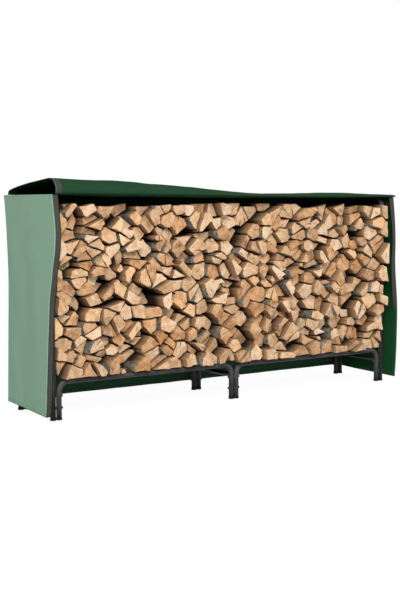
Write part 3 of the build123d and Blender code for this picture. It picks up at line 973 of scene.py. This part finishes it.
def split_log(bm, outline, length, grain, tone_layer):
    """One log: its rear end, its sides drawn forward along the grain, and its sawn face with a broken rim."""
    centre = sum(outline, Vector()) / len(outline)
    front, rear = centre.y + set_back(centre), centre.y + length
    middle = bark_corner(outline)
    bark_start = bark_span = 0
    if middle is not None:
        bark_start = bearing(outline[middle - 1], centre)
        bark_span = (bearing(outline[(middle + 1) % len(outline)], centre) - bark_start) % math.tau
    elif chance.random() < flank_bark_share:
        bark_start, bark_span = chance.uniform(2.2, 3.4), chance.uniform(1.2, 1.9)

    def in_bark(p):
        return (bearing(p, centre) - bark_start) % math.tau < bark_span

    apex = max(outline, key=lambda p: (p - centre).length)
    pith = apex + (apex - centre) * chance.uniform(-0.3, 0.5)
    tone = (chance.random(), chance.random(), chance.random(), 1)
    tilt_x, tilt_z = chance.uniform(-face_tilt, face_tilt), chance.uniform(-face_tilt, face_tilt)
    shrink = chance.uniform(0.03, 0.09)
    before = set(bm.faces)
    end = bm.faces.new([bm.verts.new((p.x, rear, p.z)) for p in outline])
    bmesh.ops.bevel(
        bm, geom=list(end.verts), offset=chance.uniform(*corner_rounding), offset_type="OFFSET", segments=3,
        profile=0.5, affect="VERTICES", material=-1, clamp_overlap=True,
    )
    end = [f for f in bm.faces if f not in before][0]
    long_edges = [e for e in end.edges if e.calc_length() > 0.020]
    new_corners = bmesh.ops.subdivide_edges(bm, edges=long_edges, cuts=2)["geom_inner"]
    for v in [g for g in new_corners if isinstance(g, bmesh.types.BMVert)]:
        out = Vector((v.co.x - centre.x, 0, v.co.z - centre.z)).normalized()
        v.co += out * (0.003 if in_bark(v.co) else chance.uniform(-0.004, 0.001))
    end = [f for g in new_corners if isinstance(g, bmesh.types.BMVert) for f in g.link_faces][0]

    def outwards(p):
        return Vector((p.x - centre.x, 0, p.z - centre.z))

    def uneven(p):
        """Where the sides first come in, well behind the face."""
        return Vector((p.x, front + 0.12, p.z)) - outwards(p) * (shrink / 2 + chance.uniform(0, 0.04))

    def narrower(p):
        """Where they come in again, close behind it."""
        return Vector((p.x, front + 0.045, p.z)) - outwards(p) * (shrink / 2 + chance.uniform(-0.01, 0.04))

    def sawn_off(p):
        """Where they end at the saw cut, which isn't quite square."""
        out = outwards(p)
        y = front + tilt_x * out.x + tilt_z * out.z + chance.uniform(-0.001, 0.001)
        return Vector((p.x, y, p.z)) - out * chance.uniform(0, 0.03)

    sawn = drawn(bm, drawn(bm, drawn(bm, end, uneven), narrower), sawn_off)
    log = connected(sawn, set())
    log += bmesh.ops.inset_region(
        bm, faces=[sawn], thickness=rim_width, depth=rim_depth, use_even_offset=True
    )["faces"]
    for face in log:
        place = face.calc_center_median()
        if face is sawn or place.y > rear - 0.001:
            continue
        if in_bark(place):
            face.material_index = 2
        elif place.y > front + 0.012:
            face.material_index = 1
    for face in log:
        end_on = face.material_index == 0
        right = face.calc_center_median().x > centre.x
        for loop in face.loops:
            p = loop.vert.co
            if end_on:
                loop[grain].uv = (p.x - pith.x, p.z - pith.z)
            else:
                turn = bearing(p, centre) if right else math.atan2(p.z - centre.z, centre.x - p.x) + 8
                loop[grain].uv = (p.y - front, turn * 0.04 + tone[1] * 9)
            loop[tone_layer] = tone
    roll = Matrix.Rotation(chance.uniform(-log_turn, log_turn), 3, "Y")
    for v in {v for face in log for v in face.verts if v.co.y < front + 0.1}:
        v.co = centre + roll @ (v.co - centre)


for number in range(1, courses + 1):
    node = f"log_course_{number:02d}"
    bm = bmesh.new()
    grain = bm.loops.layers.uv.new("grain")
    tone_layer = bm.loops.layers.float_color.new("log_tone")
    for outline, length in sawn_outlines(node):
        split_log(bm, outline, length, grain, tone_layer)
    open_rims = [e for e in bm.edges if len(e.link_faces) == 1]
    if open_rims:
        bmesh.ops.holes_fill(bm, edges=open_rims, sides=0)
    bmesh.ops.recalc_face_normals(bm, faces=bm.faces)
    piece = finish_piece(node, bm, [end_grain, split_wood, bark], [node])
    piece.data.set_sharp_from_angle(angle=math.radians(26))


# Floor: a wide pale sheet of paper under the rack, which takes its shadow. It isn't part of the object.
# Seen by the camera it glows a little, so that it runs into the plain white room behind it.
bm = bmesh.new()
bmesh.ops.create_grid(bm, x_segments=1, y_segments=1, size=40)
mesh = bpy.data.meshes.new("studio_floor")
bm.to_mesh(mesh)
bm.free()
floor = bpy.data.objects.new("studio_floor", mesh)
bpy.context.scene.collection.objects.link(floor)


def seen_or_mirrored(nodes, links):
    """1 for what the camera sees directly or in a shine, and 0 for other light."""
    ray = nodes.new("ShaderNodeLightPath")
    either = nodes.new("ShaderNodeMath")
    either.operation = "MAXIMUM"
    links.new(ray.outputs["Is Camera Ray"], either.inputs[0])
    links.new(ray.outputs["Is Glossy Ray"], either.inputs[1])
    return either.outputs[0]


paper, nodes, links, shader = new_finish("white_paper")
shader.inputs["Base Color"].default_value = (0.60, 0.60, 0.60, 1)
shader.inputs["Roughness"].default_value = 0.95
glow = nodes.new("ShaderNodeEmission")
glow.inputs["Strength"].default_value = 1.08
blend = nodes.new("ShaderNodeMixShader")
links.new(weighted(nodes, links, seen_or_mirrored(nodes, links), 0.88), blend.inputs["Fac"])
links.new(shader.outputs["BSDF"], blend.inputs[1])
links.new(glow.outputs["Emission"], blend.inputs[2])
links.new(blend.outputs["Shader"], nodes["Material Output"].inputs["Surface"])
mesh.materials.append(paper)


# Light: a broad lamp high at the front left and a weaker one at the front right. The white room gives
# even light too, at less than half of what the camera sees of it.
scene = bpy.context.scene
world = bpy.data.worlds.new("studio_room")
scene.world = world
world.use_nodes = True
nodes, links = world.node_tree.nodes, world.node_tree.links
room = nodes["Background"]
level = nodes.new("ShaderNodeMapRange")
level.inputs["To Min"].default_value = 0.45
level.inputs["To Max"].default_value = 1.0
links.new(seen_or_mirrored(nodes, links), level.inputs["Value"])
room.inputs["Color"].default_value = (1, 1, 1, 1)
links.new(level.outputs["Result"], room.inputs["Strength"])


def studio_lamp(name, place, size, power):
    """A rectangular lamp that points at the middle of the pile."""
    lamp = bpy.data.lights.new(name, "AREA")
    lamp.shape = "RECTANGLE"
    lamp.size, lamp.size_y = size
    lamp.energy = power
    holder = bpy.data.objects.new(name, lamp)
    holder.location = place
    holder.rotation_euler = (Vector((0, 0, 0.7)) - Vector(place)).to_track_quat("-Z", "Y").to_euler()
    scene.collection.objects.link(holder)


studio_lamp("key_lamp", (-3.2, -5.5, 3.6), (2.2, 2.2), 420)
studio_lamp("fill_lamp", (4.5, -4.5, 2.6), (3.0, 2.5), 110)


# Camera: a little above the middle of the rack, in front of its left end. Its place and turn were solved
# from the feet, the rails and the corners of the cover.
view = bpy.data.cameras.new("camera")
view.lens = 65.88
view.sensor_width = 36
camera = bpy.data.objects.new("camera", view)
scene.collection.objects.link(camera)
camera.location = (-3.82098, -5.32177, 1.12033)
yaw, pitch = math.radians(34.915), math.radians(4.821)
ahead = Vector((math.sin(yaw) * math.cos(pitch), math.cos(yaw) * math.cos(pitch), -math.sin(pitch)))
camera.rotation_euler = ahead.to_track_quat("-Z", "Y").to_euler()
scene.camera = camera
scene.view_settings.view_transform = "Standard"
